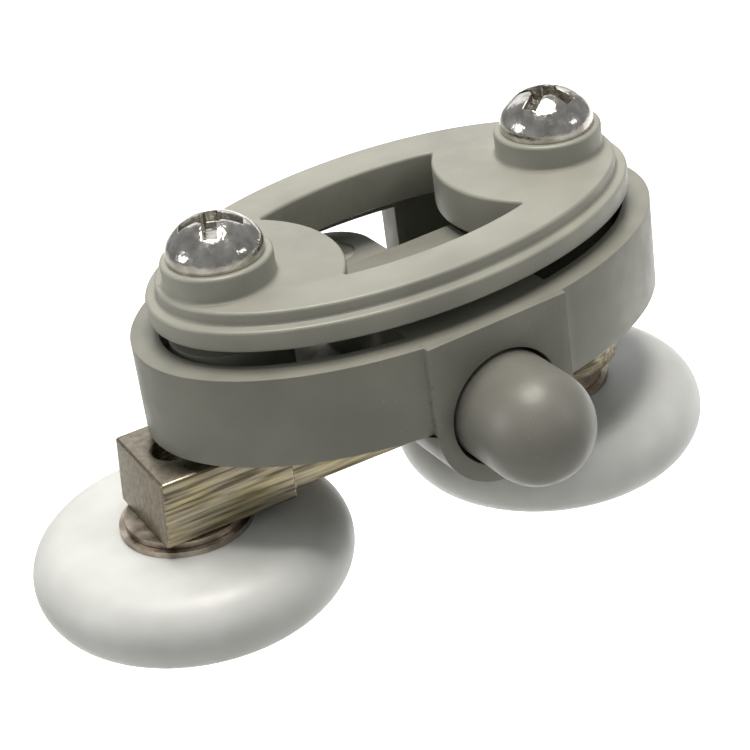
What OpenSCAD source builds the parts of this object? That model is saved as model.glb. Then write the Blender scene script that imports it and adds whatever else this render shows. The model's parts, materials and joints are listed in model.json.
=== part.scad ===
// Sliding door roller: an oval glass clamp on a sprung, rocking carriage with two wheels.
// Origin: middle of the glass face between the clamp screws. +X runs along the rail,
// +Z stands out of the glass face, and the push button points to -Y.

/* [Clamp screws] */
// Distance between the two clamp screws
screw_pitch = 30; // [29:0.5:32]
// Diameter of the screw thread
screw_d = 4; // [3.5:0.1:4.5]
// Length of the screw under its head
screw_len = 12; // [11:0.5:12.5]
// Diameter of the pan head
head_d = 7.4; // [7:0.1:8]
// Height of the pan head
head_h = 3.1; // [2.6:0.1:3.4]
// Tip-to-tip size of the cross recess
recess_span = 4.8; // [3.8:0.1:4.8]
// Width of each arm of the cross recess
recess_arm = 1.1; // [0.8:0.1:1.3]
// Radius of the head's rounded shoulder
shoulder_r = 1.7; // [1.2:0.1:2]
// Depth of the cross recess
recess_depth = 1.7; // [1:0.1:2]
// Angle of the left screw's recess when tight
left_turn = 60; // [0:5:90]
// Angle of the right screw's recess when tight
right_turn = 25; // [0:5:90]
// Lead of the thread, one turn
screw_lead = 0.7; // [0.5:0.1:1]

/* [Casing] */
// Length of the oval casing along the rail
casing_len = 44.6; // [43:0.2:46]
// Width of the oval casing
casing_wid = 27.5; // [26.8:0.1:29]
// Height of the casing
casing_h = 7.4; // [7:0.1:8]
// Thickness of the casing wall
wall = 2.2; // [1.6:0.1:2.6]
// Thickness of the casing floor
floor_t = 1.6; // [1.2:0.1:2.2]
// Diameter of the post round each threaded insert
post_d = 9.2; // [8:0.1:10]
// Width of the button housing
housing_w = 12.3; // [11.8:0.1:13]
// How far the button housing reaches behind the screw line
housing_back = 1.8; // [1.4:0.1:2.4]
// Length of the rounded underside of the button housing, below the casing
pendant_len = 5.4; // [4.6:0.1:5.8]
// Width of the opening at the back of the casing
rear_gap_w = 13; // [12.4:0.1:14.4]
// Height of the strip that closes the rim over the back opening
strip_h = 1.8; // [1.2:0.1:2]

/* [Clamp plate] */
// Length of the plate's flange
plate_len = 41.2; // [40:0.1:42.6]
// Width of the plate's flange
plate_wid = 24.7; // [24:0.1:26]
// Space between the glass face and the flange with no glass fitted
plate_gap = 1.4; // [1.2:0.1:2]
// Thickness of the flange
flange_t = 1.7; // [1.4:0.1:2.2]
// Height of the step on top of the flange
step_h = 1.1; // [0.8:0.1:1.5]
// Inset of the step from the flange's edge
step_inset = 0.9; // [0.6:0.1:1.4]
// Height of the land under the flange that presses on the glass
land_h = 0.8; // [0.5:0.1:0.9]
// Inset of that land from the flange's edge
land_inset = 2.4; // [2:0.1:3]
// Diameter of the boss under each screw head
boss_d = 8.5; // [8.3:0.1:9.6]
// Height of the boss
boss_h = 2; // [1.4:0.1:2.4]
// Half width of the window at the middle of the plate
window_half_w = 7.5; // [7:0.1:8.2]
// Half length of the oval that the window's long sides follow
window_half_len = 15; // [14:0.1:16]
// Radius round each screw that the window's ends follow
window_end_r = 9.4; // [8.6:0.1:10]

/* [Push button] */
// Diameter of the button
button_d = 8.9; // [8.4:0.1:9.2]
// Play round the button in its housing, on the radius
button_play = 0.3; // [0.2:0.05:0.4]
// How far the dome stands out of the housing
button_proud = 8.2; // [7:0.1:9]
// How far the button goes in
button_travel = 4; // [3:0.1:4]
// Depth of the button's axis below the glass face
button_drop = 7.3; // [7.1:0.05:7.6]
// Length of the button inside the housing
button_grip = 4.8; // [4.4:0.1:5.2]
// Diameter of the plunger's stem
stem_d = 3.6; // [3.2:0.1:3.8]
// Running clearance of the stem in its guide, on the radius
stem_play = 0.06; // [0.02:0.01:0.1]

/* [Return spring] */
// Wire diameter of the return spring
wire_d = 0.6; // [0.5:0.05:0.65]
// Outer diameter of the return spring
spring_d = 5.5; // [5.4:0.1:5.6]
// Number of coils
spring_coils = 7; // [5:1:8]

/* [Carriage] */
// Length of the carriage between the wheel axles
axle_pitch = 32.6; // [32:0.2:36]
// Width of the carriage bar
bar_w = 8.9; // [8.4:0.1:9.4]
// Height of the carriage bar
bar_h = 5.5; // [5:0.1:6]
// Space between the casing and the carriage bar
bar_gap = 1.0; // [0.8:0.05:1.2]
// How far the bar's left end reaches past its axle
bar_end = 3.0; // [2.6:0.1:3.2]
// Radius of the round right end of the bar
bar_nose_r = 6.2; // [5.2:0.1:6.4]
// How far the underside of the round end is raised above the rest of the bar
nose_lift = 1.5; // [0.5:0.1:1.8]
// Length of the thicker block at the left end
block_len = 10.6; // [9:0.1:12]
// How far the foot of the block's end reaches past its top
block_rake = 0.45; // [0:0.05:0.6]
// How far the block stands out from the sides and the underside of the bar
block_step = 0.45; // [0.3:0.05:0.6]
// Angle at which the free carriage rests
rest_yaw = -3.4; // [-5:0.2:5]
// Distance of the pivot from the middle of the carriage
pivot_offset = 3; // [2.6:0.1:3.4]
// Distance of the pivot behind the line of the axles
pivot_back = 9.2; // [9:0.1:9.8]
// Distance of the pivot behind the screw line
pivot_y = 8.6; // [8.4:0.1:8.8]
// Distance of the pivot to the left of the button's axis
pivot_left = 1.2; // [0.8:0.1:1.6]
// Thickness of the lug that carries the bar on the pivot pin
lug_t = 4.4; // [4:0.1:4.8]
// Diameter of the pivot pin
pivot_d = 4; // [3.6:0.1:4.2]
// Radius of the eye round the pivot pin
eye_r = 3.7; // [3.4:0.1:3.8]
// Running clearance of the carriage on the pivot pin, on the radius
pivot_play = 0.05; // [0.02:0.01:0.1]

/* [Wheels] */
// Diameter of a wheel
wheel_d = 25.2; // [24:0.2:27]
// Width of a wheel at its hub
wheel_w = 6.4; // [6:0.1:6.8]
// Width of a wheel where its rim starts to round over
rim_w = 6.2; // [5.4:0.1:6.4]
// Diameter of the ball bearing
bearing_d = 11; // [10.6:0.1:11.6]
// Width of the ball bearing
bearing_w = 4; // [3.8:0.1:4.2]
// Diameter of the axle bolt through the bearing
axle_d = 4; // [3.8:0.1:4.2]
// Outer diameter of the bearing's inner ring
inner_ring_d = 5.9; // [5.8:0.1:6.1]
// Inner diameter of the bearing's outer ring
outer_ring_d = 9; // [8.8:0.1:9.2]
// Diameter of the balls
ball_d = 2; // [1.8:0.05:2.1]
// Number of balls in each bearing
ball_count = 7; // [6:1:8]
// Diameter of the spacer between the bar and the bearing
spacer_d = 9.5; // [9:0.1:10]
// Thickness of the left spacer; the right one is thicker by the lift of the round end
spacer_t = 0.5; // [0.4:0.05:0.9]
// Diameter of the hub collar
collar_d = 10.5; // [10.2:0.1:11.4]
// Height of the hub collar
collar_h = 0.5; // [0.4:0.05:0.9]
// Diameter of the axle bolt's head
bolt_head_d = 7; // [6:0.1:8]
// Height of the axle bolt's head
bolt_head_h = 1.4; // [1.2:0.1:2]

/* [Hidden] */
$fn = 64;

EPS = 0.01;          // tiny overlap that keeps cuts clean
SEAT = 0.02;         // air between faces that touch but belong to different bodies
FIT = 0.1;           // sliding fit where nothing has to run true

casing_a = casing_len / 2;
casing_b = casing_wid / 2;
plate_a = plate_len / 2;
plate_b = plate_wid / 2;
screw_xs = [-screw_pitch / 2, screw_pitch / 2];

insert_d = 5.6;
insert_top = -0.3;
insert_len = casing_h - floor_t;
screw_play = 0.15;
thread_play = 0.02;

flange_z = plate_gap;
step_z = flange_z + flange_t;
plate_top = step_z + step_h;
seat_z = plate_top + boss_h;

bore_r = button_d / 2 + button_play;
front_y = -casing_b;
housing_r = housing_w / 2;
guide_y0 = -1;                       // front of the wall that guides the stem
button_back_y = front_y + button_grip;
bore_end_y = button_back_y + button_travel + 0.3;
spring_bore_r = spring_d / 2 + 0.25;
button_ball_y = front_y - button_proud + button_d / 2;
spring_seat_y = button_back_y - 3.6;  // floor of the spring's pocket in the button
stem_front_y = spring_seat_y - 3.4;

bar_top = -casing_h - bar_gap;
bar_bottom = bar_top - bar_h;
thread_d = axle_d - 0.7;             // thread of an axle bolt in the bar
thread_len = 3.8;
key_d = 3.4;                         // hexagon socket in the bolt's head, across its corners
key_depth = 1;
notch_half_x = 6;                    // half length of the dip that clears the spring
notch_z = -button_drop - spring_d / 2 - 0.45;
guide_half_x = 3.6;
guide_bottom = -button_drop - stem_d / 2 - 0.6;

tongue_top = -2.25;
tongue_bottom = bar_top + 0.35;
tongue_y = housing_back + SEAT;
tongue_neck_len = pivot_y - housing_back - 1.4;
pivot_x = -pivot_left;
lug_top = bar_top;
lug_bottom = lug_top - lug_t;
washer_t = tongue_bottom - lug_top - 2 * SEAT;
clip_t = 0.5;
clip_z = lug_bottom - 0.3 - clip_t;
pin_bottom = clip_z - 0.6;
pin_top = tongue_top - 0.3;
groove_d = pivot_d - 0.9;
clip_d = pivot_d + 3;

bar_y = -pivot_back;                 // line of the axles, from the pivot
notch_end_y = -eye_r - 0.4;
axle_xs = [-pivot_offset - axle_pitch / 2, -pivot_offset + axle_pitch / 2];
seat_lifts = [0, nose_lift];         // height of each spacer's seat above the bar's underside
spacer_z = bar_bottom - spacer_t;
collar_z = spacer_z - SEAT - collar_h;
wheel_top = collar_z;
wheel_mid = wheel_top - wheel_w / 2;
bearing_z0 = wheel_mid - bearing_w / 2;
race_r = (inner_ring_d + outer_ring_d) / 4;

module ellipse(a, b) { scale([a, b]) circle(r = 1, $fn = 128); }

module oval(a, b, z0, h) { translate([0, 0, z0]) linear_extrude(h) ellipse(a, b); }

// A cylinder whose axis runs along +Y from y0.
module along_y(r, y0, len) { translate([0, y0, 0]) rotate([-90, 0, 0]) cylinder(r = r, h = len); }

// Children drawn from the pivot, turned to the angle at which the free carriage rests.
module on_carriage() { translate([pivot_x, pivot_y, 0]) rotate([0, 0, rest_yaw]) children(); }

module at_axle(side) { on_carriage() translate([axle_xs[side], bar_y, 0]) children(); }

module at_button_axis() { translate([0, 0, -button_drop]) children(); }

module casing_shell() {
    difference() {
        oval(casing_a, casing_b, -casing_h, casing_h);
        oval(casing_a - wall, casing_b - wall, floor_t - casing_h, casing_h);
    }
    for (x = screw_xs) translate([x, 0, -casing_h]) cylinder(d = post_d, h = casing_h);
}

module housing_solid() {
    translate([-housing_r, front_y, -casing_h])
        cube([housing_w, housing_back - front_y, casing_h]);
    at_button_axis() along_y(housing_r, front_y, pendant_len);
    translate([-guide_half_x, guide_y0, guide_bottom])
        cube([2 * guide_half_x, housing_back - guide_y0, -guide_bottom - EPS]);
}

module casing() {
    color("#8f8f86") difference() {
        union() {
            casing_shell();
            housing_solid();
        }
        at_button_axis() {
            along_y(bore_r, front_y - 1, bore_end_y - front_y + 1);
            along_y(spring_bore_r, bore_end_y - 1, guide_y0 - bore_end_y + 1);
            along_y(stem_d / 2 + stem_play, guide_y0 - 1, housing_back - guide_y0 + 2);
        }
        translate([-rear_gap_w / 2, housing_back, -casing_h - 1])
            cube([rear_gap_w, casing_b, casing_h + 1 - strip_h]);
        translate([-rear_gap_w / 2, housing_back, -casing_h / 2])
            cube([rear_gap_w, casing_b - wall - 2 - housing_back, casing_h]);
        for (x = screw_xs) translate([x, 0, -casing_h - 1]) {
            cylinder(d = screw_d + 2 * screw_play, h = casing_h + 2);
            translate([0, 0, 1 + casing_h + insert_top - insert_len])
                cylinder(d = insert_d, h = insert_len - insert_top + 1);
        }
    }
}

module screw_inserts() {
    color("#c8a45a") for (x = screw_xs) translate([x, 0, insert_top - insert_len])
        difference() {
            cylinder(d = insert_d, h = insert_len);
            translate([0, 0, -1]) cylinder(d = screw_d + 2 * thread_play, h = insert_len + 2);
        }
}

module window_outline() {
    difference() {
        ellipse(window_half_len, window_half_w);
        for (x = screw_xs) translate([x, 0]) circle(r = window_end_r);
    }
}

module clamp_plate() {
    color("#97978d") difference() {
        union() {
            oval(plate_a, plate_b, flange_z, flange_t);
            oval(plate_a - step_inset, plate_b - step_inset, step_z - EPS, step_h + EPS);
            oval(plate_a - land_inset, plate_b - land_inset, flange_z - land_h, land_h + EPS);
            for (x = screw_xs) translate([x, 0, plate_top - EPS])
                cylinder(d = boss_d, h = boss_h + EPS);
        }
        translate([0, 0, flange_z - land_h - 1])
            linear_extrude(plate_top + land_h + 2) window_outline();
        for (x = screw_xs) translate([x, 0, 0])
            cylinder(d = screw_d + 2 * screw_play, h = seat_z + 1);
    }
}

module cross_recess() {
    translate([0, 0, head_h - recess_depth]) {
        for (turn = [0, 90]) rotate([0, 0, turn])
            translate([-recess_span / 2, -recess_arm / 2, 0])
                cube([recess_span, recess_arm, recess_depth + 1]);
        cylinder(d = recess_arm * 1.9, h = recess_depth + 1);
    }
}

// Pan head: a short upright edge, a round shoulder, and a flatter cap tangent to it.
module pan_head() {
    edge_h = 0.4;
    shoulder_x = head_d / 2 - shoulder_r;
    rise = head_h - edge_h;
    cap_r = (pow(shoulder_x, 2) + pow(rise, 2) - pow(shoulder_r, 2)) / (2 * (rise - shoulder_r));
    cap_z = head_h - cap_r;
    touch = [shoulder_x, edge_h - cap_z] * cap_r / (cap_r - shoulder_r) + [0, cap_z];
    rotate_extrude() intersection() {
        square([head_d / 2, head_h]);
        union() {
            square([head_d / 2, edge_h]);
            translate([shoulder_x, edge_h]) circle(r = shoulder_r);
            polygon([[0, 0], [shoulder_x, 0], touch, [0, touch[1]]]);
            intersection() {
                translate([0, cap_z]) circle(r = cap_r);
                translate([0, touch[1] - EPS]) square([touch[0], head_h]);
            }
        }
    }
}

module clamp_screw(turn) {
    color("#c9c9c9") rotate([0, 0, turn]) {
        difference() {
            pan_head();
            cross_recess();
        }
        translate([0, 0, -screw_len]) cylinder(d = screw_d, h = screw_len + EPS);
    }
}

module clamp_screw_left() { translate([screw_xs[0], 0, seat_z]) clamp_screw(left_turn); }

module clamp_screw_right() { translate([screw_xs[1], 0, seat_z]) clamp_screw(right_turn); }

module push_button() {
    color("#85857c") at_button_axis() difference() {
        union() {
            along_y(button_d / 2, button_ball_y, button_back_y - button_ball_y);
            translate([0, button_ball_y, 0]) sphere(d = button_d);
        }
        along_y(spring_bore_r, spring_seat_y, 10);
        along_y(stem_d / 2, stem_front_y, 10);
    }
}

module plunger() {
    color("#6f6d66") {
        at_button_axis() along_y(stem_d / 2, stem_front_y, tongue_y - stem_front_y + 0.4);
        difference() {
            translate([0, 0, tongue_bottom]) linear_extrude(tongue_top - tongue_bottom)
                union() {
                    translate([pivot_x - eye_r, tongue_y])
                        square([eye_r + pivot_left + stem_d / 2 + 0.6, tongue_neck_len]);
                    translate([pivot_x - eye_r, tongue_y])
                        square([2 * eye_r, pivot_y - tongue_y]);
                    translate([pivot_x, pivot_y]) circle(r = eye_r);
                }
            translate([pivot_x, pivot_y, tongue_bottom - 1])
                cylinder(d = pivot_d, h = tongue_top - tongue_bottom + 2);
        }
    }
}

// One closed flat ring every coil stands in for the wound wire.
module return_spring() {
    coil_step = (guide_y0 - spring_seat_y - wire_d) / (spring_coils - 1);
    color("#b8b8b8") at_button_axis() for (i = [0 : spring_coils - 1])
        translate([0, spring_seat_y + wire_d / 2 + i * coil_step, 0]) rotate([-90, 0, 0])
            rotate_extrude() translate([spring_d / 2 - wire_d / 2, 0]) circle(d = wire_d);
}

module pivot_pin() {
    color("#c4c4be") translate([pivot_x, pivot_y, 0]) difference() {
        translate([0, 0, pin_bottom]) cylinder(d = pivot_d, h = pin_top - pin_bottom);
        translate([0, 0, clip_z]) difference() {
            cylinder(d = pivot_d + 2, h = clip_t);
            translate([0, 0, -1]) cylinder(d = groove_d, h = clip_t + 2);
        }
    }
}

module pivot_washer() {
    color("#b0b0aa") translate([pivot_x, pivot_y, lug_top + SEAT]) difference() {
        cylinder(r = eye_r - 0.2, h = washer_t);
        translate([0, 0, -1]) cylinder(d = pivot_d + 2 * pivot_play, h = washer_t + 2);
    }
}

module pivot_clip() {
    color("#55534f") translate([pivot_x, pivot_y, clip_z + SEAT]) difference() {
        cylinder(d = clip_d, h = clip_t - 2 * SEAT);
        translate([0, 0, -1]) cylinder(d = groove_d + 2 * SEAT, h = clip_t + 2);
        translate([0, 0, -1]) linear_extrude(clip_t + 2)
            polygon([[0, 0], [clip_d, -clip_d / 2], [clip_d, clip_d / 2]]);
    }
}

module carriage_bar() {
    left_end = axle_xs[0] - bar_end;
    shank_x = left_end + block_len - EPS;
    shank_y = bar_y - bar_w / 2 + block_step;
    shank_w = bar_w - 2 * block_step;
    color("#a9a79b") on_carriage() {
        difference() {
            union() {
                translate([left_end, bar_y + bar_w / 2, bar_bottom]) rotate([90, 0, 0])
                    linear_extrude(bar_w)
                        polygon([[-block_rake, 0], [block_len, 0], [block_len, bar_h], [0, bar_h]]);
                translate([shank_x, shank_y, bar_bottom + block_step])
                    cube([axle_xs[1] - spacer_d / 2 - 0.4 - shank_x, shank_w, bar_h - block_step]);
                translate([shank_x, shank_y, bar_bottom + nose_lift])
                    cube([axle_xs[1] - shank_x, shank_w, bar_h - nose_lift]);
                translate([axle_xs[1], bar_y, bar_bottom + nose_lift])
                    cylinder(r = bar_nose_r, h = bar_h - nose_lift);
                translate([0, 0, lug_bottom]) linear_extrude(lug_t) union() {
                    circle(r = eye_r);
                    translate([-eye_r, bar_y]) square([2 * eye_r, -bar_y]);
                }
            }
            translate([pivot_left - notch_half_x, bar_y - bar_w, notch_z])
                cube([2 * notch_half_x, notch_end_y - bar_y + bar_w, bar_h]);
            translate([0, 0, lug_bottom - 1])
                cylinder(d = pivot_d + 2 * pivot_play, h = lug_t + 2);
            for (x = axle_xs) translate([x, bar_y, bar_bottom - 1])
                cylinder(d = thread_d, h = bar_h + 2);
        }
    }
}

// Section of the tyre, from the bearing seat out to the rounded tread.
module tyre_section() {
    seat_r = bearing_d / 2;
    rim_r = rim_w / 2;
    hub_r = collar_d / 2 + 0.6;
    tread_r = wheel_d / 2;
    difference() {
        union() {
            polygon([[seat_r - 0.6, -wheel_w / 2], [hub_r, -wheel_w / 2],
                     [tread_r - rim_r, -rim_r], [tread_r - rim_r, rim_r],
                     [hub_r, wheel_w / 2], [seat_r - 0.6, wheel_w / 2]]);
            translate([tread_r - rim_r, 0]) circle(r = rim_r);
        }
        translate([0, -bearing_w / 2]) square([seat_r, bearing_w]);
    }
}

module tyre(side) {
    color("#ecebe6") at_axle(side) translate([0, 0, wheel_mid])
        rotate_extrude($fn = 128) tyre_section();
}

module ball_groove() { translate([race_r, 0]) circle(d = ball_d + 0.06); }

module bearing_outer(side) {
    color("#bdbdbd") at_axle(side) translate([0, 0, wheel_mid]) rotate_extrude() difference() {
        translate([outer_ring_d / 2, -bearing_w / 2])
            square([(bearing_d - outer_ring_d) / 2, bearing_w]);
        ball_groove();
    }
}

module bearing_inner(side) {
    color("#b5b5b5") at_axle(side) translate([0, 0, wheel_mid]) rotate_extrude() difference() {
        translate([axle_d / 2, -bearing_w / 2])
            square([(inner_ring_d - axle_d) / 2, bearing_w]);
        ball_groove();
    }
}

// The balls, held together by a thin ring with a pocket round each of them.
module ball_cage(side) {
    color("#d0d0d0") at_axle(side) translate([0, 0, wheel_mid]) {
        for (i = [0 : ball_count - 1]) rotate([0, 0, i * 360 / ball_count])
            translate([race_r, 0, 0]) sphere(d = ball_d, $fn = 32);
        rotate_extrude() translate([race_r - 0.25, -0.3]) square([0.5, 0.6]);
    }
}

module shields(side) {
    shield_t = 0.3;
    color("#6b5a45") at_axle(side) for (z = [wheel_mid - bearing_w / 2 + 0.1,
                                             wheel_mid + bearing_w / 2 - 0.1 - shield_t])
        translate([0, 0, z]) difference() {
            cylinder(d = outer_ring_d, h = shield_t);
            translate([0, 0, -1]) cylinder(d = inner_ring_d + 2 * FIT, h = shield_t + 2);
        }
}

// Metal collar pressed on the tyre's hub, the wider of the two steps under the bar.
module hub_collar(side) {
    color("#7b7264") at_axle(side) translate([0, 0, wheel_top]) difference() {
        cylinder(d = collar_d, h = collar_h - SEAT);
        translate([0, 0, -1]) cylinder(d = inner_ring_d + 2 * FIT, h = collar_h + 2);
    }
}

// Spacer on the axle: a disc under the bar with a neck that rests on the inner ring.
module spacer(side) {
    disc_h = spacer_t + seat_lifts[side];
    neck_z = wheel_mid + bearing_w / 2;
    color("#8a8172") at_axle(side) difference() {
        union() {
            translate([0, 0, spacer_z]) cylinder(d = spacer_d, h = disc_h);
            translate([0, 0, neck_z]) cylinder(d = inner_ring_d - 0.3, h = spacer_z - neck_z + EPS);
        }
        translate([0, 0, neck_z - 1]) cylinder(d = axle_d, h = spacer_z - neck_z + disc_h + 2);
    }
}

// Shoulder bolt: head under the wheel, plain shank in the bearing, thread in the bar.
module axle_bolt(side) {
    head_z = bearing_z0 - bolt_head_h;
    seat = bar_bottom + seat_lifts[side];
    color("#c0c0c0") at_axle(side) difference() {
        union() {
            translate([0, 0, head_z]) cylinder(d = bolt_head_d, h = bolt_head_h);
            translate([0, 0, bearing_z0 - EPS]) cylinder(d = axle_d, h = seat - bearing_z0 + EPS);
            translate([0, 0, seat - EPS]) cylinder(d = thread_d, h = thread_len);
        }
        translate([0, 0, head_z - 1]) cylinder(d = key_d, h = 1 + key_depth, $fn = 6);
    }
}

module tyre_left() { tyre(0); }
module tyre_right() { tyre(1); }
module bearing_outer_left() { bearing_outer(0); }
module bearing_outer_right() { bearing_outer(1); }
module bearing_inner_left() { bearing_inner(0); }
module bearing_inner_right() { bearing_inner(1); }
module ball_cage_left() { ball_cage(0); }
module ball_cage_right() { ball_cage(1); }
module shields_left() { shields(0); }
module shields_right() { shields(1); }
module hub_collar_left() { hub_collar(0); }
module hub_collar_right() { hub_collar(1); }
module spacer_left() { spacer(0); }
module spacer_right() { spacer(1); }
module axle_bolt_left() { axle_bolt(0); }
module axle_bolt_right() { axle_bolt(1); }

casing();
screw_inserts();
clamp_plate();
clamp_screw_left();
clamp_screw_right();
push_button();
plunger();
return_spring();
pivot_pin();
pivot_washer();
pivot_clip();
carriage_bar();
tyre_left();
bearing_outer_left();
bearing_inner_left();
ball_cage_left();
shields_left();
hub_collar_left();
spacer_left();
axle_bolt_left();
tyre_right();
bearing_outer_right();
bearing_inner_right();
ball_cage_right();
shields_right();
hub_collar_right();
spacer_right();
axle_bolt_right();
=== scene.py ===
"""Sliding door roller: finishes, moulded edges, wound spring, floor, light and camera."""
import json
import math
import bpy
from mathutils import Matrix, Vector

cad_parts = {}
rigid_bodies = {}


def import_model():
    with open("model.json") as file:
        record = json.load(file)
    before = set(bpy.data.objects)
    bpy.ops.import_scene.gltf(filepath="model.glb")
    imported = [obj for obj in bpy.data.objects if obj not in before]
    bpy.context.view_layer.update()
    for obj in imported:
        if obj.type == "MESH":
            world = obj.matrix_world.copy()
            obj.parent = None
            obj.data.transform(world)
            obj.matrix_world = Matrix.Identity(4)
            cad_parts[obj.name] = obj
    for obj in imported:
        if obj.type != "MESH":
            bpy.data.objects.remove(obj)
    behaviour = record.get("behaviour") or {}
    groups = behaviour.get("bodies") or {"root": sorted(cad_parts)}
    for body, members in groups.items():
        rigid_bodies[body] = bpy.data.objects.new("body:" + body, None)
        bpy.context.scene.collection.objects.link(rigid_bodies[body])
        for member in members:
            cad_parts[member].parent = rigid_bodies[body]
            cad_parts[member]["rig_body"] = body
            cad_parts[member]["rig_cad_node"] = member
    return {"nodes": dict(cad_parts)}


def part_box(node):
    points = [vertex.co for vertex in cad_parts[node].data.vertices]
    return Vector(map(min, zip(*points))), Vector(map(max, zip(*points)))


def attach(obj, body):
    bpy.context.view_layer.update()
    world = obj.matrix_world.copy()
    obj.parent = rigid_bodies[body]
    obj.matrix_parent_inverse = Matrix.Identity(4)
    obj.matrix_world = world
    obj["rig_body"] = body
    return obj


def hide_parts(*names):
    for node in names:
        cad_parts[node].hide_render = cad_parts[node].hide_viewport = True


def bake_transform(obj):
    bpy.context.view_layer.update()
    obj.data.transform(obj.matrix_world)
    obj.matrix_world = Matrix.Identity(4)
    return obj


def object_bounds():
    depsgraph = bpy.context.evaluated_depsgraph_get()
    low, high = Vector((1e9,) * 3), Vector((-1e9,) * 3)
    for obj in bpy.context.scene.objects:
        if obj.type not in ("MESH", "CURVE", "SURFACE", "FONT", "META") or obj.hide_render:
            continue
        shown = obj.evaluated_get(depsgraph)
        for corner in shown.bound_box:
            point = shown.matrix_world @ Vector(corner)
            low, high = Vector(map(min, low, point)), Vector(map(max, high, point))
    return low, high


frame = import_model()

MM = 0.001
nodes = frame["nodes"]
cad_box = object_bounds()
SIDES = ("left", "right")

BAR_YAW = math.radians(-3.4)      # the bar rests turned by this much about Z
PAD_EDGE = 6.15 * MM              # half width of the button housing
PAD_FRONT = -13.0 * MM            # the housing's corners lie in front of this Y
PAD_FADE = 0.4 * MM
NICK_REACH = 0.25 * MM            # the nicks reach this far from the housing's edge
NICK_FULL = 0.05 * MM             # and are at their strongest within this

# Edge rounding of each moulded or machined part.
ROUNDINGS = {"casing": 0.28 * MM, "clamp_plate": 0.26 * MM, "carriage_bar": 0.25 * MM,
             "push_button": 0.15 * MM, "plunger": 0.2 * MM,
             "clamp_screw_left": 0.09 * MM, "clamp_screw_right": 0.09 * MM}
BEVEL_STEPS = 3
SHARP_EDGE = math.radians(35)     # edges sharper than this are rounded
FLAT_ENOUGH = math.radians(0.6)   # faces closer than this in direction are merged
WELD = 0.002 * MM                 # vertices closer than this are merged

# Edges up to these angles, in degrees, are shaded smooth.
SMOOTH_PLAIN = 35
SMOOTH_MOULDED = 40
SMOOTH_WIRE = 60

WIRE_RADIUS = 0.3 * MM
COILS = 8
CLOSED_COIL = 0.75                # turns laid flat at each end of the spring
COIL_STEPS = 32                   # points in one turn

AZIMUTH = math.radians(-28.03)    # the camera looks along this heading, turned from +Y
ELEVATION = math.radians(30.06)   # and from this height above the horizon
ROLL = math.radians(8.16)
DISTANCE = 0.1785
FOCAL_LENGTH = 110.4
SENSOR_WIDTH = 36
TARGET = Vector((-4.42, -2.07, -7.78)) * MM

FLOOR_SIZE = 3.0
FLOOR_DROP = 0.06                 # the floor lies this far below the wheels
PAINTED_GLOW_DEPTH = 28 * MM              # the backdrop paper's painted glow, light it emits itself, fades in over this behind the roller
# the painted glow fades out to the left between these places across the view
PAINTED_GLOW_SIDE = (-105 * MM, -75 * MM)
ROOM_LIGHT = 0.31
LIGHT_REACH = 0.7                 # distance of the top, left and right softboxes
# Softboxes: name, place, width and height, power in watts, tint.
SOFTBOXES = [
    ("top_softbox", Vector((0.044, 0.072, 0.996)) * LIGHT_REACH, (0.34, 0.34), 6.2, "#fffaf2"),
    ("backdrop_softbox", Vector((0.36, 0.68, 0.36)), (0.9, 0.6), 1.7, "#ffffff"),
    ("left_softbox", Vector((-0.896, 0.323, 0.304)) * LIGHT_REACH, (0.26, 0.3), 1.0, "#ffffff"),
    ("right_softbox", Vector((0.59, -0.657, 0.47)) * LIGHT_REACH, (0.13, 0.18), 0.35, "#ffffff"),
]


# ---------------------------------------------------------------- materials

MIX_FACTOR, MIX_FIRST, MIX_SECOND, MIX_RESULT = 0, 6, 7, 2    # sockets of a colour Mix node


def colour(hex_code):
    """An sRGB hex colour as linear RGBA."""
    parts = [int(hex_code[i:i + 2], 16) / 255 for i in (1, 3, 5)]
    return [c / 12.92 if c <= 0.04045 else ((c + 0.055) / 1.055) ** 2.4 for c in parts] + [1.0]


def add(tree, kind, inputs=(), stops=(), **settings):
    """The outputs of a new node. Inputs give a value or another node's output by the socket's
    name or number, and stops are the (position, hex or grey level) pairs of a colour ramp."""
    node = tree.nodes.new("ShaderNode" + kind)
    for key, value in settings.items():
        setattr(node, key, value)
    for i, (place, value) in enumerate(stops):
        element = node.color_ramp.elements[i] if i < 2 else node.color_ramp.elements.new(place)
        element.position = place
        element.color = colour(value) if isinstance(value, str) else [value] * 3 + [1.0]
    for socket, value in dict(inputs).items():
        if isinstance(value, bpy.types.NodeSocket):
            tree.links.new(node.inputs[socket], value)
        else:
            node.inputs[socket].default_value = value
    return node.outputs


def material(name, base, metallic=0.0, roughness=0.5, **shader):
    """A new Principled material; returns it with its tree, shader and object coordinates."""
    made = bpy.data.materials.new(name)
    made.use_nodes = True
    tree = made.node_tree
    bsdf = tree.nodes["Principled BSDF"]
    bsdf.inputs["Base Color"].default_value = colour(base)
    bsdf.inputs["Metallic"].default_value = metallic
    bsdf.inputs["Roughness"].default_value = roughness
    for key, value in shader.items():
        bsdf.inputs[key.replace("_", " ")].default_value = value
    made.diffuse_color = colour(base)
    return made, tree, bsdf, add(tree, "TexCoord")["Object"]


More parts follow.
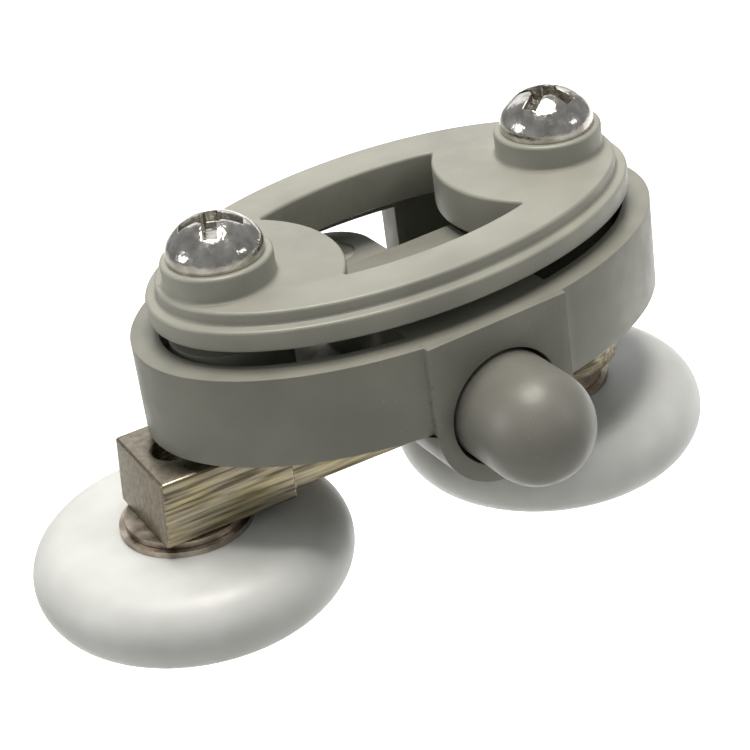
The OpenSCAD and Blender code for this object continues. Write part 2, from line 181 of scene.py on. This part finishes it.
def nicked(tree, where, skin):
    """Brown nicks along the housing's left edge, where the mould was pried open."""
    place = add(tree, "SeparateXYZ", {"Vector": where})
    off = add(tree, "Math", {0: place["X"], 1: PAD_EDGE}, operation="ADD")[0]
    off = add(tree, "Math", {0: off}, operation="ABSOLUTE")[0]
    edge = add(tree, "MapRange", {"Value": off, "From Min": NICK_REACH, "From Max": NICK_FULL})[0]
    front = add(tree, "MapRange", {"Value": place["Y"], "From Min": PAD_FRONT + PAD_FADE,
                                   "From Max": PAD_FRONT})[0]
    spots = add(tree, "TexNoise", {"Vector": where, "Scale": 1 / (0.4 * MM), "Detail": 5.0})["Fac"]
    spots = add(tree, "ValToRGB", {"Fac": spots}, [(0.56, 0.0), (0.68, 0.7)])["Color"]
    worn = add(tree, "Math", {0: edge, 1: front}, operation="MULTIPLY")[0]
    worn = add(tree, "Math", {0: worn, 1: spots}, operation="MULTIPLY")[0]
    return add(tree, "Mix", {MIX_FACTOR: worn, MIX_FIRST: skin, MIX_SECOND: colour("#4a3526")},
               data_type="RGBA")[MIX_RESULT]


def moulded_abs(name, dark, light, grain=0.22 * MM, nicks=False):
    """Injection-moulded ABS: a satin skin with faint flow shades, fine spark grain and dust."""
    made, tree, bsdf, where = material(name, light, roughness=0.42, Specular_IOR_Level=0.5,
                                       Subsurface_Weight=0.06, Subsurface_Scale=0.4 * MM)
    bsdf.inputs["Subsurface Radius"].default_value = (1.0, 0.8, 0.55)
    flow = add(tree, "TexNoise", {"Vector": where, "Scale": 1 / (7 * MM), "Detail": 2.0})["Fac"]
    specks = add(tree, "TexNoise", {"Vector": where, "Scale": 1 / (0.22 * MM),
                                    "Detail": 1.0})["Fac"]
    skin = add(tree, "ValToRGB", {"Fac": flow}, [(0.35, dark), (0.65, light)])["Color"]
    dust = add(tree, "ValToRGB", {"Fac": specks}, [(0.74, 0.0), (0.80, 0.35)])["Color"]
    skin = add(tree, "Mix", {MIX_FACTOR: dust, MIX_FIRST: skin, MIX_SECOND: colour("#b7b4a8")},
               data_type="RGBA")[MIX_RESULT]
    if nicks:
        skin = nicked(tree, where, skin)
    tree.links.new(bsdf.inputs["Base Color"], skin)
    patches = add(tree, "TexNoise", {"Vector": where, "Scale": 1 / (1.6 * MM),
                                     "Detail": 3.0})["Fac"]
    rough = add(tree, "ValToRGB", {"Fac": patches}, [(0.3, 0.36), (0.7, 0.50)])["Color"]
    tree.links.new(bsdf.inputs["Roughness"], rough)
    # Real spark grain is about 0.05 mm wide, and this is coarser so that it shows.
    sparks = add(tree, "TexNoise", {"Vector": where, "Scale": 1 / grain, "Detail": 2.0})["Fac"]
    waves = add(tree, "TexNoise", {"Vector": where, "Scale": 1 / (3.5 * MM), "Detail": 1.0})["Fac"]
    fine = add(tree, "Bump", {"Height": sparks, "Distance": 0.012 * MM, "Strength": 0.55})[0]
    relief = add(tree, "Bump", {"Height": waves, "Distance": 0.06 * MM, "Strength": 0.5,
                                "Normal": fine})[0]
    tree.links.new(bsdf.inputs["Normal"], relief)
    return made


def polished_steel():
    """Nickel-plated pan head: mirror bright, with small dents and tumbling marks."""
    made, tree, bsdf, where = material("nickel_plated_screw", "#c9c6c0", 1.0, 0.12)
    cloud = add(tree, "TexNoise", {"Vector": where, "Scale": 1 / (1.4 * MM), "Detail": 4.0})["Fac"]
    tone = add(tree, "ValToRGB", {"Fac": cloud}, [(0.3, "#a8a49c"), (0.7, "#dcdad5")])["Color"]
    marks = add(tree, "TexNoise", {"Vector": where, "Scale": 1 / (0.6 * MM), "Detail": 5.0})["Fac"]
    rough = add(tree, "ValToRGB", {"Fac": marks}, [(0.3, 0.09), (0.75, 0.27)])["Color"]
    dents = add(tree, "TexNoise", {"Vector": where, "Scale": 1 / (0.8 * MM), "Detail": 3.0})["Fac"]
    pits = add(tree, "TexNoise", {"Vector": where, "Scale": 1 / (0.25 * MM), "Detail": 2.0})["Fac"]
    dented = add(tree, "Bump", {"Height": dents, "Distance": 0.09 * MM, "Strength": 0.7})[0]
    relief = add(tree, "Bump", {"Height": pits, "Distance": 0.012 * MM, "Strength": 0.5,
                                "Normal": dented})[0]
    tree.links.new(bsdf.inputs["Base Color"], tone)
    tree.links.new(bsdf.inputs["Roughness"], rough)
    tree.links.new(bsdf.inputs["Normal"], relief)
    return made


def brushed_bar():
    """Machined zinc bar under thin nickel: its long sides are brushed lengthwise and worn
    brassy, and its other faces are plain and dull."""
    made, tree, bsdf, where = material("brushed_nickel_bar", "#8b8675", 1.0, 0.34)
    along = add(tree, "Mapping", {"Vector": where, "Rotation": (0, 0, -BAR_YAW)})[0]
    strokes = add(tree, "Mapping", {"Vector": along, "Scale": (0.12, 2.2, 2.2)})[0]
    drawn_out = add(tree, "Mapping", {"Vector": along, "Scale": (0.5, 1.0, 1.0)})[0]
    # Real brush strokes are some 0.05 mm wide, and these are coarser so that they show.
    brush = add(tree, "TexNoise", {"Vector": strokes, "Scale": 1 / (0.55 * MM),
                                   "Detail": 6.0})["Fac"]
    cloud = add(tree, "TexNoise", {"Vector": drawn_out, "Scale": 1 / (2.5 * MM),
                                   "Detail": 3.0})["Fac"]
    tone = add(tree, "ValToRGB", {"Fac": brush},
               [(0.34, "#837e71"), (0.5, "#c2bcad"), (0.66, "#e6e0c8")])["Color"]
    brassy = add(tree, "ValToRGB", {"Fac": cloud}, [(0.4, "#c9c5bc"), (0.62, "#dad0ac")])["Color"]
    streaked = add(tree, "Mix", {MIX_FACTOR: 0.8, MIX_FIRST: tone, MIX_SECOND: brassy},
                   data_type="RGBA", blend_type="MULTIPLY")[MIX_RESULT]
    stain = add(tree, "TexNoise", {"Vector": where, "Scale": 1 / (0.5 * MM), "Detail": 4.0})["Fac"]
    plain = add(tree, "ValToRGB", {"Fac": stain}, [(0.3, "#7b7468"), (0.7, "#968e7f")])["Color"]
    facing = add(tree, "SeparateXYZ", {"Vector": add(tree, "NewGeometry")["Normal"]})["Y"]
    side = add(tree, "Math", {0: facing}, operation="ABSOLUTE")[0]
    side = add(tree, "ValToRGB", {"Fac": side}, [(0.5, 0.0), (0.8, 1.0)])["Color"]
    skin = add(tree, "Mix", {MIX_FACTOR: side, MIX_FIRST: plain, MIX_SECOND: streaked},
               data_type="RGBA")[MIX_RESULT]
    rough = add(tree, "ValToRGB", {"Fac": brush}, [(0.3, 0.5), (0.7, 0.28)])["Color"]
    pits = add(tree, "TexNoise", {"Vector": where, "Scale": 1 / (0.5 * MM), "Detail": 2.0})["Fac"]
    grooves = add(tree, "Bump", {"Height": brush, "Distance": 0.03 * MM, "Strength": 0.5})[0]
    relief = add(tree, "Bump", {"Height": pits, "Distance": 0.01 * MM, "Strength": 0.5,
                                "Normal": grooves})[0]
    tree.links.new(bsdf.inputs["Base Color"], skin)
    tree.links.new(bsdf.inputs["Roughness"], rough)
    tree.links.new(bsdf.inputs["Normal"], relief)
    return made


def turned_metal(name, dark, light, roughness):
    """Turned steel or nickel: fine rings of tool marks and a slightly uneven tarnish."""
    made, tree, bsdf, where = material(name, light, 1.0, roughness)
    cloud = add(tree, "TexNoise", {"Vector": where, "Scale": 1 / (1.8 * MM), "Detail": 4.0})["Fac"]
    tone = add(tree, "ValToRGB", {"Fac": cloud}, [(0.35, dark), (0.65, light)])["Color"]
    # Real tool marks are about 0.05 mm apart, and these are coarser so that they show.
    rings = add(tree, "Mapping", {"Vector": where, "Scale": (0.3, 0.3, 3.0)})[0]
    marks = add(tree, "TexNoise", {"Vector": rings, "Scale": 1 / (0.3 * MM), "Detail": 3.0})["Fac"]
    rough = add(tree, "ValToRGB", {"Fac": marks},
                [(0.3, roughness * 0.8), (0.7, roughness * 1.5)])["Color"]
    relief = add(tree, "Bump", {"Height": marks, "Distance": 0.01 * MM, "Strength": 0.5})[0]
    tree.links.new(bsdf.inputs["Base Color"], tone)
    tree.links.new(bsdf.inputs["Roughness"], rough)
    tree.links.new(bsdf.inputs["Normal"], relief)
    return made


def milky_nylon():
    """Turned and tumbled nylon: translucent milky white, satin, with faint scuffs."""
    made, tree, bsdf, where = material("milky_nylon", "#cdcecb", roughness=0.34,
                                       Specular_IOR_Level=0.45, Subsurface_Weight=0.35,
                                       Subsurface_Scale=1.6 * MM)
    bsdf.inputs["Subsurface Radius"].default_value = (1.0, 0.95, 0.85)
    cloud = add(tree, "TexNoise", {"Vector": where, "Scale": 1 / (5 * MM), "Detail": 2.0})["Fac"]
    tone = add(tree, "ValToRGB", {"Fac": cloud}, [(0.35, "#bfc1bf"), (0.65, "#c8cac9")])["Color"]
    scuffs = add(tree, "TexNoise", {"Vector": where, "Scale": 1 / (1.2 * MM), "Detail": 4.0})["Fac"]
    rough = add(tree, "ValToRGB", {"Fac": scuffs}, [(0.3, 0.38), (0.7, 0.5)])["Color"]
    relief = add(tree, "Bump", {"Height": scuffs, "Distance": 0.01 * MM, "Strength": 0.5})[0]
    tree.links.new(bsdf.inputs["Base Color"], tone)
    tree.links.new(bsdf.inputs["Roughness"], rough)
    tree.links.new(bsdf.inputs["Normal"], relief)
    return made


def moulded_acetal():
    """Acetal pin: off-white with a soft sheen and a slight mottling."""
    made, tree, bsdf, where = material("off_white_acetal", "#dedbd0", roughness=0.4)
    cloud = add(tree, "TexNoise", {"Vector": where, "Scale": 1 / (1.2 * MM), "Detail": 3.0})["Fac"]
    tone = add(tree, "ValToRGB", {"Fac": cloud}, [(0.35, "#c9c6b8"), (0.65, "#dedbd0")])["Color"]
    grain = add(tree, "TexNoise", {"Vector": where, "Scale": 1 / (0.4 * MM), "Detail": 3.0})["Fac"]
    relief = add(tree, "Bump", {"Height": grain, "Distance": 0.01 * MM, "Strength": 0.5})[0]
    tree.links.new(bsdf.inputs["Base Color"], tone)
    tree.links.new(bsdf.inputs["Normal"], relief)
    return made


def pale_floor_with_painted_glow():
    """Backdrop paper: pale, with a painted glow behind the roller, where the paper itself emits
    light.
    """
    made, tree, bsdf, where = material("backdrop_paper_painted_glow", "#c6c6c4", roughness=0.9)
    cloud = add(tree, "TexNoise", {"Vector": where, "Scale": 1 / (60 * MM), "Detail": 3.0})["Fac"]
    tone = add(tree, "ValToRGB", {"Fac": cloud}, [(0.3, "#c4c4c2"), (0.7, "#c8c8c6")])["Color"]
    turned = add(tree, "Mapping", {"Vector": where, "Rotation": (0, 0, -AZIMUTH)})[0]
    place = add(tree, "SeparateXYZ", {"Vector": turned})
    # Painted glow: the paper emits light behind the roller along the camera's heading, fading out
    # to the left.
    behind = add(tree, "MapRange", {"Value": place["Y"], "From Min": 0.0,
                                    "From Max": PAINTED_GLOW_DEPTH})[0]
    middle = add(tree, "MapRange", {"Value": place["X"], "From Min": PAINTED_GLOW_SIDE[0],
                                    "From Max": PAINTED_GLOW_SIDE[1]})[0]
    painted_glow = add(tree, "Math", {0: behind, 1: middle}, operation="MULTIPLY")[0]
    tree.links.new(bsdf.inputs["Base Color"], tone)
    tree.links.new(bsdf.inputs["Emission Color"], painted_glow)
    bsdf.inputs["Emission Strength"].default_value = 1.0
    return made


# ---------------------------------------------------------------- mesh tools

def deselect():
    """Leaves edit mode with nothing selected."""
    if bpy.context.object and bpy.context.object.mode != "OBJECT":
        bpy.ops.object.mode_set(mode="OBJECT")
    bpy.ops.object.select_all(action="DESELECT")


def make_active(piece):
    """Selects the piece alone and makes it the one that operators act on."""
    deselect()
    piece.select_set(True)
    bpy.context.view_layer.objects.active = piece


def smooth(piece, degrees):
    """Shades the piece smooth across edges up to the given angle."""
    make_active(piece)
    bpy.ops.object.shade_smooth_by_angle(angle=math.radians(degrees))


def settle(piece, degrees=SMOOTH_MOULDED):
    """Applies the piece's place and shades it smooth up to the given angle."""
    make_active(piece)
    bpy.ops.object.transform_apply(location=True, rotation=True, scale=True)
    smooth(piece, degrees)


def dress(piece, finish):
    """Gives a piece one finish in every slot."""
    piece.data.materials.clear()
    piece.data.materials.append(finish)
    for face in piece.data.polygons:
        face.material_index = 0


def softened(node_name, width, clamp=True):
    """A copy of a part with its sharp edges rounded, standing for the part itself."""
    source = nodes[node_name]
    piece = source.copy()
    piece.data = source.data.copy()
    piece.parent = None
    piece.name = node_name + "_moulded"
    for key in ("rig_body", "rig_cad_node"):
        if key in piece:
            del piece[key]
    bpy.context.scene.collection.objects.link(piece)
    make_active(piece)
    bpy.ops.object.mode_set(mode="EDIT")
    bpy.ops.mesh.select_all(action="SELECT")
    bpy.ops.mesh.remove_doubles(threshold=WELD)
    bpy.ops.mesh.dissolve_limited(angle_limit=FLAT_ENOUGH)
    bpy.ops.object.mode_set(mode="OBJECT")
    bevel = piece.modifiers.new("edge_rounding", "BEVEL")
    bevel.width = width
    bevel.segments = BEVEL_STEPS
    bevel.limit_method = "ANGLE"
    bevel.angle_limit = SHARP_EDGE
    bevel.use_clamp_overlap = clamp
    bevel.miter_outer = "MITER_ARC"
    bpy.ops.object.modifier_apply(modifier=bevel.name)
    settle(piece)
    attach(piece, source["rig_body"])
    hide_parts(node_name)
    return piece


def wound_spring():
    """The return spring as one wound wire with closed ends, in place of its plain rings."""
    low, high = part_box("return_spring")
    coil_r = (high.z - low.z) / 2 - WIRE_RADIUS
    middle = (low + high) / 2
    length = high.y - low.y - 2 * WIRE_RADIUS
    open_coils = COILS - 2 * CLOSED_COIL
    points = []
    for i in range(COILS * COIL_STEPS + 1):
        turn = i / COIL_STEPS
        along = min(max(turn - CLOSED_COIL, 0), open_coils) / open_coils
        angle = 2 * math.pi * turn
        points.append((middle.x + coil_r * math.cos(angle), low.y + WIRE_RADIUS + along * length,
                       middle.z + coil_r * math.sin(angle)))
    curve = bpy.data.curves.new("return_spring_wire", "CURVE")
    curve.dimensions = "3D"
    curve.bevel_depth = WIRE_RADIUS
    curve.bevel_resolution = 3
    curve.use_fill_caps = True
    spline = curve.splines.new("POLY")
    spline.points.add(len(points) - 1)
    for point, place in zip(spline.points, points):
        point.co = (*place, 1)
    piece = bpy.data.objects.new("return_spring_wire", curve)
    bpy.context.scene.collection.objects.link(piece)
    make_active(piece)
    bpy.ops.object.convert(target="MESH")
    piece = bpy.context.object
    settle(piece, SMOOTH_WIRE)
    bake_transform(piece)
    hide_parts("return_spring")
    return piece


# ---------------------------------------------------------------- finishes

grey = moulded_abs("moulded_grey_abs", "#86867d", "#929288")
casing_grey = moulded_abs("moulded_casing_abs", "#76766d", "#828278", nicks=True)
button_grey = moulded_abs("moulded_button_abs", "#6e6e67", "#797871", grain=0.16 * MM)
steel = polished_steel()
bar_metal = brushed_bar()
collar_metal = turned_metal("dull_nickel_collar", "#8a8074", "#c4b9ab", 0.3)
bearing_metal = turned_metal("ground_bearing_steel", "#9c9c9a", "#c9c9c6", 0.22)
brass = turned_metal("turned_brass", "#a5823e", "#d2b06a", 0.3)
wire = turned_metal("drawn_spring_wire", "#8c8c8a", "#c4c4c2", 0.28)
nylon = milky_nylon()
acetal = moulded_acetal()

FINISHES = {
    "casing": casing_grey, "clamp_plate": grey, "plunger": grey, "push_button": button_grey,
    "screw_inserts": brass, "clamp_screw_left": steel, "clamp_screw_right": steel,
    "return_spring": wire, "pivot_pin": acetal, "pivot_washer": collar_metal,
    "pivot_clip": collar_metal, "carriage_bar": bar_metal,
}
for side in SIDES:
    FINISHES["tyre_" + side] = nylon
    for part in ("hub_collar_", "spacer_", "shields_"):
        FINISHES[part + side] = collar_metal
    for part in ("bearing_outer_", "bearing_inner_", "ball_cage_", "axle_bolt_"):
        FINISHES[part + side] = bearing_metal

for name, finish in FINISHES.items():
    dress(nodes[name], finish)
    smooth(nodes[name], SMOOTH_PLAIN)

for name, width in ROUNDINGS.items():
    piece = softened(name, width, clamp=name != "carriage_bar")
dress(wound_spring(), wire)


# ---------------------------------------------------------------- floor, light and camera

def floor():
    """A wide sheet of backdrop paper under the roller, with a painted glow behind it."""
    bpy.ops.mesh.primitive_plane_add(size=FLOOR_SIZE,
                                     location=(0, 0, cad_box[0][2] - FLOOR_DROP))
    piece = bpy.context.object
    piece.name = "floor"
    dress(piece, pale_floor_with_painted_glow())
    settle(piece)


def soft_light(name, place, size, power, tint):
    """A rectangular softbox pointed at the roller."""
    data = bpy.data.lights.new(name, "AREA")
    data.shape = "RECTANGLE"
    data.size, data.size_y = size
    data.energy = power
    data.color = colour(tint)[:3]
    lamp = bpy.data.objects.new(name, data)
    lamp.location = place
    lamp.rotation_euler = (TARGET - place).to_track_quat("-Z", "Y").to_euler()
    bpy.context.scene.collection.objects.link(lamp)


def camera():
    """The camera, looking along its heading at the target and rolled about that line."""
    heading = Vector((-math.sin(AZIMUTH) * math.cos(ELEVATION),
                      math.cos(AZIMUTH) * math.cos(ELEVATION), -math.sin(ELEVATION)))
    right = heading.cross(Vector((0, 0, 1))).normalized()
    up = right.cross(heading)
    rolled = right * math.cos(ROLL) - up * math.sin(ROLL)
    data = bpy.data.cameras.new("view")
    data.lens = FOCAL_LENGTH
    data.sensor_width = SENSOR_WIDTH
    data.clip_start = 5 * MM
    view = bpy.data.objects.new("view", data)
    turned = Matrix((rolled, rolled.cross(heading), -heading)).transposed()
    view.matrix_world = turned.to_4x4()
    view.location = TARGET - heading * DISTANCE
    bpy.context.scene.collection.objects.link(view)
    bpy.context.scene.camera = view


def world_light():
    """Even white light from all around, as in a white room."""
    world = bpy.data.worlds.new("white_room")
    bpy.context.scene.world = world
    world.use_nodes = True
    background = world.node_tree.nodes["Background"]
    background.inputs["Color"].default_value = colour("#ffffff")
    background.inputs["Strength"].default_value = ROOM_LIGHT


floor()
world_light()
for softbox in SOFTBOXES:
    soft_light(*softbox)
camera()
bpy.context.scene.view_settings.view_transform = "Standard"
